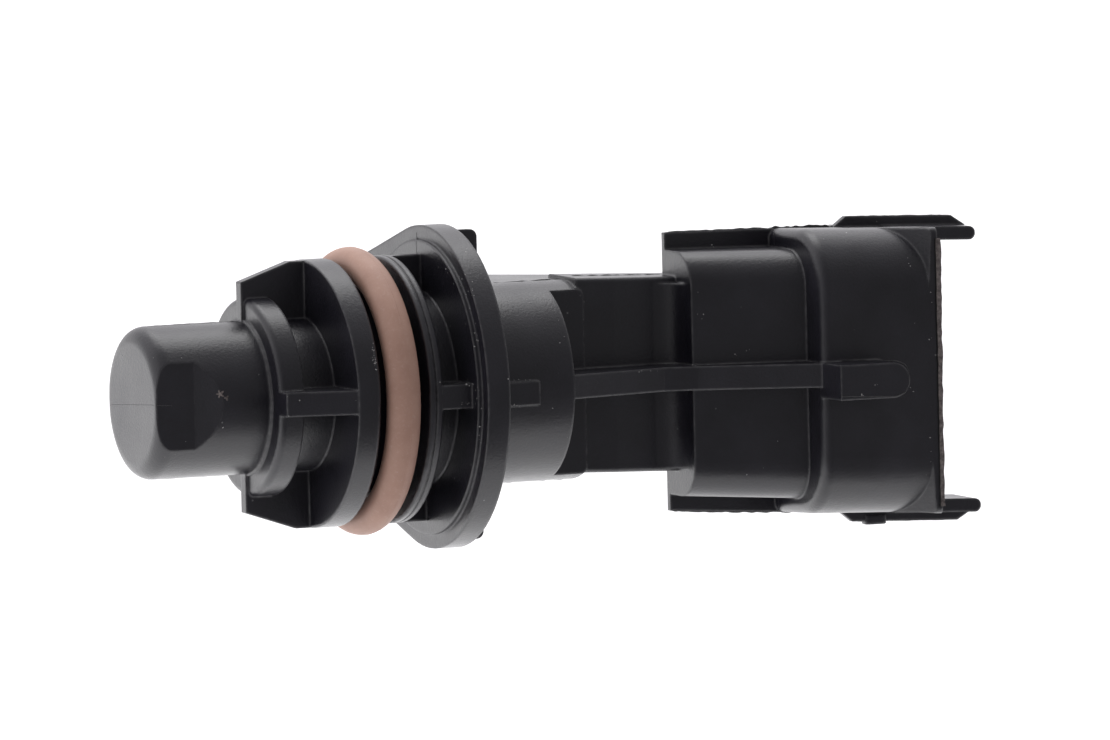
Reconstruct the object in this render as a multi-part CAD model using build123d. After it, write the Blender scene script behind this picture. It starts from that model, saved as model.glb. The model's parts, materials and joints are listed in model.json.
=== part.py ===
"""Camshaft position sensor with an in-line connector, an O-ring and a one-bolt mounting ear.

Millimetres. The sensor axis lies along X. The nose points to -X and the connector to +X.
The mounting ear points to +Y and +Z is up. The origin is on the axis, in the plane in
which the sensor seats on the engine. The housing is moulded with its parting plane at
y = 0, so its pockets open to -Y and +Y and its webs lie in that plane. The middle line of
neck and plug socket leans a little against the axis, towards -Z at the mouth.
"""
import os
from math import acos, cos, sin

from build123d import *

# How far a piece is sunk into the one it is fused with, and how far a cutting
# shape stands out of what it cuts.
fused_depth = 0.5
tool_excess = 1.0

# Nose and collar. The x stations are measured from the seat.
nose_end_x = -24.0
nose_radius = 5.9
nose_edge_round = 1.3
nose_flat_half_width = 4.85
nose_flat_end_x = -20.8
nose_flat_runout_x = -18.85
nose_root_bead_radius = 6.05
nose_root_bead_length = 0.15
collar_front_x = -14.8
collar_back_x = -12.85
collar_radius = 7.65
collar_front_round = 0.5

# Pilot discs and the groove of the O-ring.
front_disc_front_x = -9.4
front_disc_back_x = -7.55
rear_disc_front_x = -3.5
rear_disc_back_x = -2.4
pilot_radius = 10.35
disc_face_draft = 0.35
disc_edge_round = 0.2
rim_line_x = -2.98
rim_line_width = 0.14
rim_line_depth = 0.12
ring_section = 2.62
ring_inner_radius = 8.5
ring_seat_clearance = 0.3
ring_x = -5.52

# Webs in the parting plane and ribs at right angles to it.
web_half_thickness = 0.5
web_front_x = -15.0
web_front_half_height = 8.9
web_slope_end_x = -10.9
web_half_height = 10.3
rib_half_width = 0.93
front_rib_reach = 8.9
front_rib_back_reach = 10.25
rear_rib_reach = 10.3
barrel_rib_reach = 8.15
barrel_rib_end_x = 6.55
barrel_rib_middle_z = -0.25

# Seat, flange and ear.
seat_ring_radius = 11.4
flange_front_x = 0.4
flange_back_x = 2.25
flange_radius = 12.5
ear_distance = 20.0
ear_end_radius = 7.0
boss_back_x = 4.9
boss_inset = 0.5
boss_edge_round = 0.6

# Mounting bush.
bush_radius = 4.75
bush_hole_radius = 3.4
bush_clearance = 0.15
bush_edge_chamfer = 0.3

# Hub, barrel and neck.
hub_radius = 7.5
barrel_radius = 7.75
barrel_end_x = 9.6
plate_end_x = 12.45
plate_half_thickness = 3.05
plate_corner_round = 0.5
neck_half_thickness = 2.8
neck_slope_x = 15.1
neck_thin_half_thickness = 2.5
neck_half_height = 7.55
neck_edge_round = 0.35
neck_fillet = 2.0

# Brace on the ear side: a flat wall level with the top of the barrel, which reaches from
# the boss of the ear to the neck.
brace_top_z = 7.7
brace_boss_reach = 12.0
brace_end_x = 16.6
brace_thickness = 1.0

# Leaning middle line of neck and plug socket: where it crosses the sensor axis, and how
# far it falls for each millimetre. Faces across the axis stay parallel to the seat.
lean_crossing_x = 22.9
lean_slope = 0.039

# Long rib on the neck and the bulge.
long_rib_start_reach = 7.69
long_rib_low_x = 17.9
long_rib_low_reach = 5.75
long_rib_bulge_reach = 6.3

# Shell of the plug socket.
shell_front_x = 20.5
shell_step_x = 29.3
shell_rim_x = 38.7
shell_mouth_x = 39.2
ledge_half_thickness = 0.3
ledge_front_half_height = 10.8
bulge_front_half_height = 9.5
bulge_back_half_height = 9.65
bulge_front_reach = 5.3
bulge_back_reach = 7.3
bulge_corner = 2.8
ear_side_bulge_slope = 0.45
ear_side_step_slope = 0.55
shell_half_height = 11.05
shell_reach = 10.2
shell_corner = 4.6
shell_latch_side_rise = 0.05
shell_front_round = 0.8
rim_lip = 0.05
rim_corner = 0.5
gusset_length = 2.6
gusset_near_length = 0.3

# Latch nose on the -Y side, which the plug's arm hooks behind.
latch_reach = 13.8
latch_half_width = 1.36
latch_length = 5.8

# Guide tongues and fins on top and bottom of the mouth. Rises are measured from the
# outline of the shell.
tongue_end_x = 45.9
tongue_half_width = 2.2
tongue_rise = 0.1
tongue_thickness = 1.05
tongue_tip_round = 0.5
fin_start_x = 34.7
fin_run_up = 1.1
fin_rise = 0.75
fin_half_width = 0.3
fin_tip_slope = 1.2

# Hollow of the plug socket.
socket_step_x = 30.6
socket_floor_x = 24.0
socket_half_height = 9.4
socket_reach = 8.6
socket_corner = 3.0
socket_inner_half_height = 8.0
socket_inner_reach = 5.0
socket_inner_corner = 1.0

# Conductors. They lie in the parting plane.
terminal_pitch = 5.0
terminal_thickness = 0.8
blade_width = 2.8
blade_tip_x = 35.5
blade_tip_length = 1.4
blade_tip_width = 1.6
strip_wide = 2.0
strip_narrow = 1.2
strip_pitch = 2.2
strip_start_x = -16.2
strip_bend_start_x = 7.0
strip_bend_end_x = 12.5
blade_shoulder_x = 22.0

# Inner carrier.
carrier_front_x = -22.8
carrier_step_x = 5.0
carrier_back_x = 9.0
carrier_half_depth = 2.6
carrier_narrow_half_height = 3.9
carrier_wide_half_height = 6.3

# Chip, its leads, pole plate, magnet and capacitors.
chip_thickness = 1.2
chip_half_height = 2.6
chip_half_depth = 1.75
lead_pitch = 1.76
lead_thickness = 0.25
lead_half_width = 0.2
lead_run_y = -2.35
lead_bend_x = -16.55
lead_end_x = -14.8
pole_plate_thickness = 0.5
pole_plate_half_height = 2.4
magnet_length = 4.0
magnet_half_height = 2.2
capacitor_length = 1.25
capacitor_height = 0.8
capacitor_x = -12.4


def turned(start_x, end_x, radius):
    """A round bar about the sensor axis."""
    middle = (start_x + end_x) / 2
    return Pos(middle, 0, 0) * Rot(0, 90, 0) * Cylinder(radius, end_x - start_x)


def slab(start_x, end_x, low_y, high_y, low_z, high_z):
    """A box given by its six faces."""
    box = Box(end_x - start_x, high_y - low_y, high_z - low_z)
    return Pos((start_x + end_x) / 2, (low_y + high_y) / 2, (low_z + high_z) / 2) * box


def plan_prism(points, half_height):
    """A prism whose outline is drawn in plan, in x and y, and which stands along Z."""
    outline = make_face(Polyline(*points, close=True))
    return extrude(outline, amount=half_height, both=True)


def side_prism(points, half_thickness):
    """A prism whose outline is drawn in side view, in x and z, and which lies across Y."""
    corners = [(x, 0, z) for x, z in points]
    outline = make_face(Polyline(*corners, close=True))
    return extrude(outline, amount=half_thickness, both=True, dir=(0, 1, 0))


def middle_z(x):
    """Height of the leaning middle line of neck and plug socket at one station."""
    return (lean_crossing_x - x) * lean_slope


def rounded_section(x, reach, half_height, corner, rise=0):
    """A rounded rectangle across the sensor axis, with its middle on the leaning line. Its
    top and bottom climb by the rise for each millimetre towards the latch side."""
    across = Plane(origin=(x, 0, middle_z(x)), x_dir=(0, 1, 0), z_dir=(1, 0, 0))
    lift = rise * reach
    outline = Polygon(
        (-reach, half_height + lift),
        (-reach, -half_height + lift),
        (reach, -half_height - lift),
        (reach, half_height - lift),
        align=None,
    )
    return across * fillet(outline.vertices(), corner)


def rounded_bar(start_x, end_x, reach, half_height, corner, rise=0):
    """A bar of rounded rectangular section that follows the leaning line."""
    start = rounded_section(start_x, reach, half_height, corner, rise)
    length = end_x - start_x
    return Solid.extrude(start.face(), Vector(length, 0, -length * lean_slope))


def leaning_prism(points, half_thickness):
    """A side prism whose heights are measured from the leaning line."""
    return side_prism([(x, z + middle_z(x)) for x, z in points], half_thickness)


def leaning_pair(points, half_thickness):
    """A leaning prism and its twin on the other side of the leaning line."""
    twin = [(x, -z) for x, z in points]
    return leaning_prism(points, half_thickness) + leaning_prism(twin, half_thickness)


def both_sides(shape):
    """The shape and its mirror image on the other side of the parting plane."""
    return shape + mirror(shape, about=Plane.XZ)


def top_and_bottom(shape):
    """The shape and its mirror image below the sensor axis."""
    return shape + mirror(shape, about=Plane.XY)


def make_nose():
    """The sensing nose: a round bar with an edge round and a flat on each side."""
    bar = turned(nose_end_x, collar_front_x, nose_radius)
    end_edges = bar.edges().filter_by(GeomType.CIRCLE).sort_by(Axis.X)[:1]
    bar = fillet(end_edges, nose_edge_round)
    run = nose_flat_runout_x - nose_flat_end_x
    rise = nose_radius - nose_flat_half_width
    clear_y = nose_flat_half_width + 2 * rise
    waste = plan_prism(
        [
            (nose_end_x - tool_excess, -nose_flat_half_width),
            (nose_flat_end_x, -nose_flat_half_width),
            (nose_flat_end_x + 2 * run, -clear_y),
            (nose_end_x - tool_excess, -clear_y),
        ],
        nose_radius,
    )
    bead_start = collar_front_x - nose_root_bead_length
    return bar - both_sides(waste) + turned(bead_start, collar_front_x, nose_root_bead_radius)


def make_front_disc():
    """The pilot disc nearer to the nose, whose pocket side leans for the mould's release."""
    disc = turned(front_disc_front_x - disc_face_draft, front_disc_back_x, pilot_radius)
    disc = fillet(disc.edges().filter_by(GeomType.CIRCLE), disc_edge_round)
    kept = plan_prism(
        [
            (front_disc_front_x, -pilot_radius),
            (front_disc_back_x, -pilot_radius),
            (front_disc_back_x, pilot_radius),
            (front_disc_front_x, pilot_radius),
            (front_disc_front_x - disc_face_draft, 0),
        ],
        pilot_radius + tool_excess,
    )
    return disc & kept


def make_rear_disc():
    """The pilot disc nearer to the flange, with a fine line around its rim."""
    disc = turned(rear_disc_front_x, rear_disc_back_x, pilot_radius)
    disc = fillet(disc.edges().filter_by(GeomType.CIRCLE), disc_edge_round)
    line_start = rim_line_x - rim_line_width / 2
    line_end = rim_line_x + rim_line_width / 2
    ring = turned(line_start, line_end, pilot_radius + tool_excess)
    ring = ring - turned(line_start, line_end, pilot_radius - rim_line_depth)
    return disc - ring


def make_webs_and_ribs():
    """Thin walls between collar, discs and flange."""
    front_web = side_prism(
        [
            (web_front_x, 0),
            (web_front_x, web_front_half_height),
            (web_slope_end_x, web_half_height),
            (front_disc_front_x + fused_depth, web_half_height),
            (front_disc_front_x + fused_depth, 0),
        ],
        web_half_thickness,
    )
    front_web = front_web & turned(web_front_x, front_disc_back_x, pilot_radius)
    rear_web = slab(
        rear_disc_back_x - fused_depth, flange_front_x,
        -web_half_thickness, web_half_thickness, 0, web_half_height,
    )
    front_rib = plan_prism(
        [
            (collar_front_x, 0),
            (collar_front_x, -front_rib_reach),
            (front_disc_front_x, -front_rib_back_reach),
            (front_disc_front_x + fused_depth, 0),
        ],
        rib_half_width,
    )
    rear_rib = slab(
        rear_disc_back_x - fused_depth, flange_front_x,
        -rear_rib_reach, 0, -rib_half_width, rib_half_width,
    )
    return top_and_bottom(front_web + rear_web) + both_sides(front_rib + rear_rib)


def make_pilot():
    """Everything that enters the bore of the engine, without the O-ring."""
    core = turned(collar_front_x, rear_disc_back_x, nose_radius)
    collar = turned(collar_front_x, collar_back_x, collar_radius)
    collar_edges = collar.edges().filter_by(GeomType.CIRCLE).sort_by(Axis.X)
    collar = fillet(collar_edges[:1], collar_front_round)
    groove_radius = ring_inner_radius - ring_seat_clearance
    groove_start = front_disc_back_x - fused_depth
    groove_floor = turned(groove_start, rear_disc_front_x + fused_depth, groove_radius)
    hub = turned(rear_disc_back_x - fused_depth, flange_front_x, hub_radius)
    pilot = make_nose() + core + collar + groove_floor + hub
    return pilot + make_front_disc() + make_rear_disc() + make_webs_and_ribs()


def flange_outline(x, radius, end_radius):
    """The flange's round outline with the straight tangents of the ear."""
    across = Plane(origin=(x, 0, 0), x_dir=(0, 1, 0), z_dir=(1, 0, 0))
    lean = acos((radius - end_radius) / ear_distance)
    tangents = Polygon(
        (radius * cos(lean), -radius * sin(lean)),
        (ear_distance + end_radius * cos(lean), -end_radius * sin(lean)),
        (ear_distance + end_radius * cos(lean), end_radius * sin(lean)),
        (radius * cos(lean), radius * sin(lean)),
        align=None,
    )
    outline = Circle(radius) + tangents + Pos(ear_distance, 0) * Circle(end_radius)
    return across * outline


def make_flange():
    """Seat ring, flange plate, ear and the thicker boss that holds the bush."""
    plate = extrude(
        flange_outline(flange_front_x, flange_radius, ear_end_radius),
        amount=flange_back_x - flange_front_x,
    )
    boss = extrude(
        flange_outline(flange_back_x, flange_radius - boss_inset, ear_end_radius - boss_inset),
        amount=boss_back_x - flange_back_x,
    )
    boss = fillet(boss.faces().sort_by(Axis.X)[-1].outer_wire().edges(), boss_edge_round)
    ear_tip_y = ear_distance + ear_end_radius
    boss = boss & slab(flange_back_x, boss_back_x, 0, ear_tip_y, -flange_radius, flange_radius)
    return turned(0, flange_front_x, seat_ring_radius) + plate + boss


def make_barrel_and_neck():
    """The round barrel behind the flange and the flat neck that leads to the connector."""
    barrel = turned(flange_back_x, barrel_end_x, barrel_radius)
    barrel_rib = slab(
        flange_back_x, barrel_rib_end_x,
        -barrel_rib_reach, 0,
        barrel_rib_middle_z - rib_half_width, barrel_rib_middle_z + rib_half_width,
    )
    plate = turned(barrel_end_x - fused_depth, plate_end_x, barrel_radius)
    end_edges = plate.edges().filter_by(GeomType.CIRCLE).sort_by(Axis.X)[-1:]
    plate = fillet(end_edges, plate_corner_round)
    plate = plate & slab(
        barrel_end_x - fused_depth, plate_end_x,
        -plate_half_thickness, plate_half_thickness, -barrel_radius, barrel_radius,
    )
    thick_part = rounded_bar(
        plate_end_x - fused_depth, neck_slope_x,
        neck_half_thickness, neck_half_height, neck_edge_round,
    )
    root_x = shell_front_x - neck_fillet
    slope = loft([
        rounded_section(neck_slope_x, neck_half_thickness, neck_half_height, neck_edge_round),
        rounded_section(root_x, neck_thin_half_thickness, neck_half_height, neck_edge_round),
    ])
    inside_shell = ear_side_bulge_slope * neck_thin_half_thickness + fused_depth
    thin_part = rounded_bar(
        root_x, shell_front_x + inside_shell,
        neck_thin_half_thickness, neck_half_height, neck_edge_round,
    )
    neck = thick_part + slope + thin_part
    return barrel + both_sides(barrel_rib) + plate + neck


def make_ear_brace():
    """The flat wall that ties the ear to barrel and neck at the top."""
    brace = plan_prism(
        [
            (boss_back_x - fused_depth, 0),
            (boss_back_x - fused_depth, brace_boss_reach),
            (boss_back_x, brace_boss_reach),
            (brace_end_x, neck_thin_half_thickness),
            (brace_end_x, 0),
        ],
        brace_thickness / 2,
    )
    return Pos(0, 0, brace_top_z - brace_thickness / 2) * brace


def make_shell_root():
    """The hollow round between the neck and the front face of the shell, on the latch side."""
    block = slab(
        shell_front_x - neck_fillet, shell_front_x + fused_depth,
        -neck_thin_half_thickness - neck_fillet, 0,
        -neck_half_height + neck_edge_round, neck_half_height - neck_edge_round,
    )
    round_y = -neck_thin_half_thickness - neck_fillet
    waste = Cylinder(neck_fillet, 2 * (neck_half_height + tool_excess))
    waste = Pos(shell_front_x - neck_fillet, round_y, 0) * waste
    return block - waste


def long_rib(end_x):
    """A rib from the barrel over the neck and the bulge, which ends inside the large end."""
    return plan_prism(
        [
            (barrel_end_x - fused_depth, 0),
            (barrel_end_x - fused_depth, -long_rib_start_reach),
            (barrel_end_x, -long_rib_start_reach),
            (long_rib_low_x, -long_rib_low_reach),
            (shell_front_x, -long_rib_bulge_reach),
            (shell_step_x, -shell_reach),
            (end_x, -shell_reach),
            (end_x, 0),
        ],
        rib_half_width,
    )


def make_long_ribs():
    """The long rib on the latch side and its twin on the ear side."""
    latch_side = long_rib(shell_step_x + fused_depth)
    ear_side = long_rib(shell_step_x + ear_side_step_slope * shell_reach + fused_depth)
    return latch_side + mirror(ear_side, about=Plane.XZ)


def ear_side_waste(start_x, slope):
    """All that lies before a front face whose ear side leans back towards the mouth."""
    clear_y = shell_reach + tool_excess
    lean_back = slope * (clear_y - ledge_half_thickness)
    return plan_prism(
        [
            (start_x - tool_excess, ledge_half_thickness),
            (start_x, ledge_half_thickness),
            (start_x + lean_back, clear_y),
            (start_x - tool_excess, clear_y),
        ],
        shell_half_height + 2 * tool_excess,
    )


def make_shell():
    """Shell of the plug socket: ledge, bulge, large end, gussets, mouth rim and latch nose."""
    ledge = leaning_pair(
        [
            (shell_front_x, 0),
            (shell_front_x, ledge_front_half_height),
            (shell_step_x + fused_depth, shell_half_height),
            (shell_step_x + fused_depth, 0),
        ],
        ledge_half_thickness,
    )
    bulge = loft([
        rounded_section(shell_front_x, bulge_front_reach, bulge_front_half_height, bulge_corner),
        rounded_section(shell_step_x, bulge_back_reach, bulge_back_half_height, bulge_corner),
    ])
    bulge = bulge + rounded_bar(
        shell_step_x, shell_step_x + ear_side_step_slope * bulge_back_reach + fused_depth,
        bulge_back_reach, bulge_back_half_height, bulge_corner,
    )
    bulge = bulge - ear_side_waste(shell_front_x, ear_side_bulge_slope)
    large_end = rounded_bar(
        shell_step_x, shell_rim_x,
        shell_reach, shell_half_height, shell_corner, shell_latch_side_rise,
    )
    front_edges = large_end.faces().sort_by(Axis.X)[0].edges()
    large_end = fillet(front_edges, shell_front_round)
    large_end = large_end - ear_side_waste(shell_step_x, ear_side_step_slope)
    rim = rounded_bar(
        shell_rim_x, shell_mouth_x,
        shell_reach, shell_half_height + rim_lip, rim_corner, shell_latch_side_rise,
    )
    latch_start = shell_step_x
    latch_straight = latch_length - latch_half_width
    latch_foot_y = -shell_reach + fused_depth
    latch = slab(
        latch_start, latch_start + latch_straight,
        -latch_reach, latch_foot_y, -latch_half_width, latch_half_width,
    )
    round_end = Rot(90, 0, 0) * Cylinder(latch_half_width, latch_reach + latch_foot_y)
    latch_middle_y = (latch_foot_y - latch_reach) / 2
    latch = latch + Pos(latch_start + latch_straight, latch_middle_y, 0) * round_end
    latch = Pos(0, 0, middle_z(latch_start + latch_length / 2)) * latch
    return ledge + bulge + large_end + make_gussets() + rim + latch


def make_gussets():
    """Flat corner fillings between the rounded large end and the square rim."""
    inner_y = shell_reach - shell_corner
    inner_z = shell_half_height - shell_corner
    start_x = shell_rim_x - gusset_length
    fillings = None
    for y_side in (-1, 1):
        for z_side in (-1, 1):
            inner_lift = -y_side * inner_y * shell_latch_side_rise
            outer_lift = -y_side * shell_reach * shell_latch_side_rise
            on_top = Vector(
                start_x, y_side * inner_y, z_side * shell_half_height + inner_lift,
            )
            on_side = Vector(
                shell_rim_x - gusset_near_length, y_side * shell_reach,
                z_side * inner_z + outer_lift,
            )
            corner = Vector(
                shell_rim_x, y_side * shell_reach, z_side * shell_half_height + outer_lift,
            )
            block = slab(
                start_x, shell_rim_x + fused_depth,
                min(y_side * inner_y, y_side * shell_reach),
                max(y_side * inner_y, y_side * shell_reach),
                min(z_side * inner_z, z_side * shell_half_height) - tool_excess,
                max(z_side * inner_z, z_side * shell_half_height) + tool_excess,
            )
            normal = (on_side - on_top).cross(corner - on_top) * (y_side * z_side)
            cut_plane = Plane(origin=corner, z_dir=normal)
            piece = split(block, bisect_by=cut_plane, keep=Keep.TOP)
            piece = Pos(0, 0, middle_z(shell_rim_x)) * piece
            fillings = piece if fillings is None else fillings + piece
    outer = rounded_bar(
        start_x, shell_rim_x + fused_depth,
        shell_reach, shell_half_height, rim_corner, shell_latch_side_rise,
    )
    return fillings & outer


def make_tongues():
    """Guide tongues with fins, which reach past the mouth on top and bottom."""
    outer_z = shell_half_height + tongue_rise
    inner_z = outer_z - tongue_thickness
    fin_top_z = outer_z + fin_rise
    tongue = leaning_pair(
        [
            (shell_rim_x, inner_z),
            (tongue_end_x, inner_z),
            (tongue_end_x, outer_z),
            (shell_rim_x, outer_z),
        ],
        tongue_half_width,
    )
    tip_edges = tongue.edges().filter_by(Axis.Y).group_by(Axis.X)[-1]
    tongue = fillet(tip_edges, tongue_tip_round)
    fin = leaning_pair(
        [
            (fin_start_x, shell_half_height - fused_depth),
            (fin_start_x, shell_half_height),
            (fin_start_x + fin_run_up, fin_top_z),
            (tongue_end_x - fin_tip_slope, fin_top_z),
            (tongue_end_x, outer_z),
            (tongue_end_x - fin_tip_slope, outer_z - fused_depth),
        ],
        fin_half_width,
    )
    return tongue + fin


def make_socket():
    """The hollow of the connector: a wide part at the mouth and a narrower part behind it."""
    wide = rounded_bar(
        socket_step_x, shell_mouth_x + tool_excess,
        socket_reach, socket_half_height, socket_corner,
    )
    wide = wide - ear_side_waste(socket_step_x, ear_side_step_slope)
    narrow = rounded_bar(
        socket_floor_x, socket_step_x + ear_side_step_slope * socket_inner_reach + fused_depth,
        socket_inner_reach, socket_inner_half_height, socket_inner_corner,
    )
    return wide + narrow


def make_terminal(side):
    """One conductor from the weld at the chip to its contact blade; side is -1, 0 or 1."""
    near = side * strip_pitch
    far = side * terminal_pitch
    upper = [
        (strip_start_x, near + strip_narrow / 2),
        (strip_bend_start_x, near + strip_narrow / 2),
        (strip_bend_end_x, far + strip_wide / 2),
        (blade_shoulder_x, far + strip_wide / 2),
        (blade_shoulder_x, far + blade_width / 2),
        (blade_tip_x - blade_tip_length, far + blade_width / 2),
        (blade_tip_x, far + blade_tip_width / 2),
    ]
    lower = [
        (blade_tip_x, far - blade_tip_width / 2),
        (blade_tip_x - blade_tip_length, far - blade_width / 2),
        (blade_shoulder_x, far - blade_width / 2),
        (blade_shoulder_x, far - strip_wide / 2),
        (strip_bend_end_x, far - strip_wide / 2),
        (strip_bend_start_x, near - strip_narrow / 2),
        (strip_start_x, near - strip_narrow / 2),
    ]
    return side_prism(upper + lower, terminal_thickness / 2)


def make_chip_lead(side):
    """One bent lead: out of the chip, back along the magnet, in again and onto its conductor."""
    z = side * lead_pitch
    low_z = z - lead_half_width
    high_z = z + lead_half_width
    front_x = carrier_front_x + (chip_thickness - lead_thickness) / 2
    inner_y = lead_run_y + lead_thickness
    strip_y = -terminal_thickness / 2
    out = slab(front_x, front_x + lead_thickness, lead_run_y, -chip_half_depth, low_z, high_z)
    run = slab(front_x, lead_bend_x + lead_thickness, lead_run_y, inner_y, low_z, high_z)
    back = slab(
        lead_bend_x, lead_bend_x + lead_thickness,
        lead_run_y, strip_y, low_z, high_z,
    )
    foot = slab(lead_bend_x, lead_end_x, strip_y - lead_thickness, strip_y, low_z, high_z)
    return out + run + back + foot


def make_capacitor(side):
    """A chip capacitor that bridges the middle conductor and one of the outer ones."""
    half_length = capacitor_length / 2
    strip_y = -terminal_thickness / 2
    body = slab(
        capacitor_x - half_length, capacitor_x + half_length,
        strip_y - capacitor_height, strip_y, strip_narrow / 4, strip_pitch,
    )
    return body if side > 0 else mirror(body, about=Plane.XY)


def make_bush():
    """Steel bush for the bolt, flush with the seat and with the back of the ear's boss."""
    across = Plane(origin=(0, ear_distance, 0), x_dir=(0, 1, 0), z_dir=(1, 0, 0))
    ring = across * (Circle(bush_radius) - Circle(bush_hole_radius))
    bush = extrude(ring, amount=boss_back_x)
    hole_edges = bush.edges().filter_by(GeomType.CIRCLE)
    hole_edges = hole_edges.filter_by(lambda edge: edge.radius < bush_radius - bush_edge_chamfer)
    return chamfer(hole_edges, bush_edge_chamfer)


def make_o_ring():
    """The sealing ring in its groove, as it is before fitting."""
    ring_radius = ring_inner_radius + ring_section / 2
    return Pos(ring_x, 0, 0) * Rot(0, 90, 0) * Torus(ring_radius, ring_section / 2)


def make_parts():
    """Every piece of the sensor by its name."""
    parts = {}
    parts["terminal_supply"] = make_terminal(1)
    parts["terminal_ground"] = make_terminal(0)
    parts["terminal_signal"] = make_terminal(-1)
    chip_back_x = carrier_front_x + chip_thickness
    plate_back_x = chip_back_x + pole_plate_thickness
    parts["hall_chip"] = slab(
        carrier_front_x, chip_back_x,
        -chip_half_depth, chip_half_depth, -chip_half_height, chip_half_height,
    )
    parts["pole_plate"] = slab(
        chip_back_x, plate_back_x,
        -chip_half_depth, chip_half_depth, -pole_plate_half_height, pole_plate_half_height,
    )
    parts["bias_magnet"] = slab(
        plate_back_x, plate_back_x + magnet_length,
        -chip_half_depth, chip_half_depth, -magnet_half_height, magnet_half_height,
    )
    parts["chip_lead_supply"] = make_chip_lead(1)
    parts["chip_lead_ground"] = make_chip_lead(0)
    parts["chip_lead_signal"] = make_chip_lead(-1)
    parts["capacitor_supply"] = make_capacitor(1)
    parts["capacitor_signal"] = make_capacitor(-1)
    inner_names = list(parts)
    depth = carrier_half_depth
    low = carrier_narrow_half_height
    high = carrier_wide_half_height
    carrier_block = slab(carrier_front_x, carrier_step_x, -depth, depth, -low, low)
    carrier_block = carrier_block + slab(carrier_step_x, carrier_back_x, -depth, depth, -high, high)
    carrier = carrier_block
    for name in inner_names:
        carrier = carrier - parts[name]
    parts["chip_carrier"] = carrier
    housing = make_pilot() + make_flange() + make_barrel_and_neck() + make_ear_brace()
    housing = housing + make_shell_root() + make_long_ribs() + make_shell() + make_tongues()
    housing = housing - make_socket() - carrier_block
    for name in ("terminal_supply", "terminal_ground", "terminal_signal"):
        housing = housing - parts[name]
    hole_radius = bush_radius + bush_clearance
    bush_hole = turned(-tool_excess, boss_back_x + tool_excess, hole_radius)
    parts["housing"] = housing - Pos(0, ear_distance, 0) * bush_hole
    parts["o_ring"] = make_o_ring()
    parts["mounting_bush"] = make_bush()
    return parts


os.makedirs("parts", exist_ok=True)
for part_name, part_shape in make_parts().items():
    solids = part_shape.solids()
    print(part_name, "solids", len(solids), "volume", round(part_shape.volume, 1))
    solid = solids[0] if len(solids) == 1 else part_shape
    solid.label = part_name
    export_step(solid, f"parts/{part_name}.step")
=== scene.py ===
import bpy
import numpy as np
from mathutils import Matrix, Vector
from mathutils.bvhtree import BVHTree
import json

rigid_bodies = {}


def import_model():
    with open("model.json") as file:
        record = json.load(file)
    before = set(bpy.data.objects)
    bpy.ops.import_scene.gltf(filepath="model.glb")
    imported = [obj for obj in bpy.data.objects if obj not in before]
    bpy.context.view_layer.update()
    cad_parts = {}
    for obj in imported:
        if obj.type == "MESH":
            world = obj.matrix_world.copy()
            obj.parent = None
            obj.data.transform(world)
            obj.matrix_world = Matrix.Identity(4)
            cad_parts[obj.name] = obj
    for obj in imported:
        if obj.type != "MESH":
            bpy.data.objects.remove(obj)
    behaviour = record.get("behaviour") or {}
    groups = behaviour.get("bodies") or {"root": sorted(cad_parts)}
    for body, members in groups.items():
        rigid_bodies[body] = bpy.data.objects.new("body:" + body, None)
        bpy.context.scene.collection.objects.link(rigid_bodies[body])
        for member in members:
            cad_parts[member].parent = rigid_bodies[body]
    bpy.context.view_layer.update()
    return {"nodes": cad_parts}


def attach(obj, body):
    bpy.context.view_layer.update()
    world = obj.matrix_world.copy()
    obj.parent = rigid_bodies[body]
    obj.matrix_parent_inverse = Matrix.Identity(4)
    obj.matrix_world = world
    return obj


# %% [markdown]
# # A camshaft position sensor in black moulded plastic
# The real object is one piece of glass filled plastic, moulded round a small circuit. Its nose
# reads the camshaft, an O-ring seals the bore, an ear takes one screw, and a plug socket takes
# the engine's wiring. The solids come from CAD and already have the right size and place. This
# lesson loads them, gives them finishes, and adds what a mould leaves behind: thin flash,
# join lines, a gate mark and a little dust.

# %% Load the solids
for leftover in list(bpy.data.objects):
    bpy.data.objects.remove(leftover)
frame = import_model()
MM = 0.001
housing = frame["nodes"]["housing"]
print("solids", sorted(frame["nodes"]))

# %% [markdown]
# ## The camera
# A product picture of something this small is taken from far away with a long lens, so that
# lines that are parallel on the part stay nearly parallel in the picture. The camera stands
# 1.8 m off, a little above the part and 23 degrees round towards the nose. It is rolled by
# one degree, because the part lies a little slanted in the picture.

# %% Place the camera
CAMERA_TURN = np.radians(22.61)
CAMERA_LIFT = np.radians(4.7)
CAMERA_ROLL = np.radians(1.36)
CAMERA_DISTANCE = 1.8
CAMERA_TARGET = np.array([11.185, 0.0, 0.723]) * MM
PICTURE_WIDTH, PICTURE_HEIGHT = 1110, 740
PIXEL_FOCUS = 23285.0

look = np.array([np.sin(CAMERA_TURN) * np.cos(CAMERA_LIFT),
                 np.cos(CAMERA_TURN) * np.cos(CAMERA_LIFT),
                 -np.sin(CAMERA_LIFT)])
level_right = np.array([np.cos(CAMERA_TURN), -np.sin(CAMERA_TURN), 0.0])
level_up = np.cross(level_right, look)
camera_right = np.cos(CAMERA_ROLL) * level_right - np.sin(CAMERA_ROLL) * level_up
camera_up = np.sin(CAMERA_ROLL) * level_right + np.cos(CAMERA_ROLL) * level_up
camera_place = CAMERA_TARGET - look * CAMERA_DISTANCE

camera = bpy.data.objects.new("camera", bpy.data.cameras.new("camera"))
bpy.context.scene.collection.objects.link(camera)
camera.data.sensor_width = 36.0
camera.data.lens = PIXEL_FOCUS * 36.0 / PICTURE_WIDTH
camera.data.clip_start, camera.data.clip_end = 0.05, 20.0
turn = Matrix((camera_right, camera_up, -look)).transposed().to_4x4()
camera.matrix_world = Matrix.Translation(Vector(camera_place)) @ turn
bpy.context.scene.camera = camera
print("camera at", camera_place.round(3), "lens", round(camera.data.lens, 1), "mm")

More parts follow.
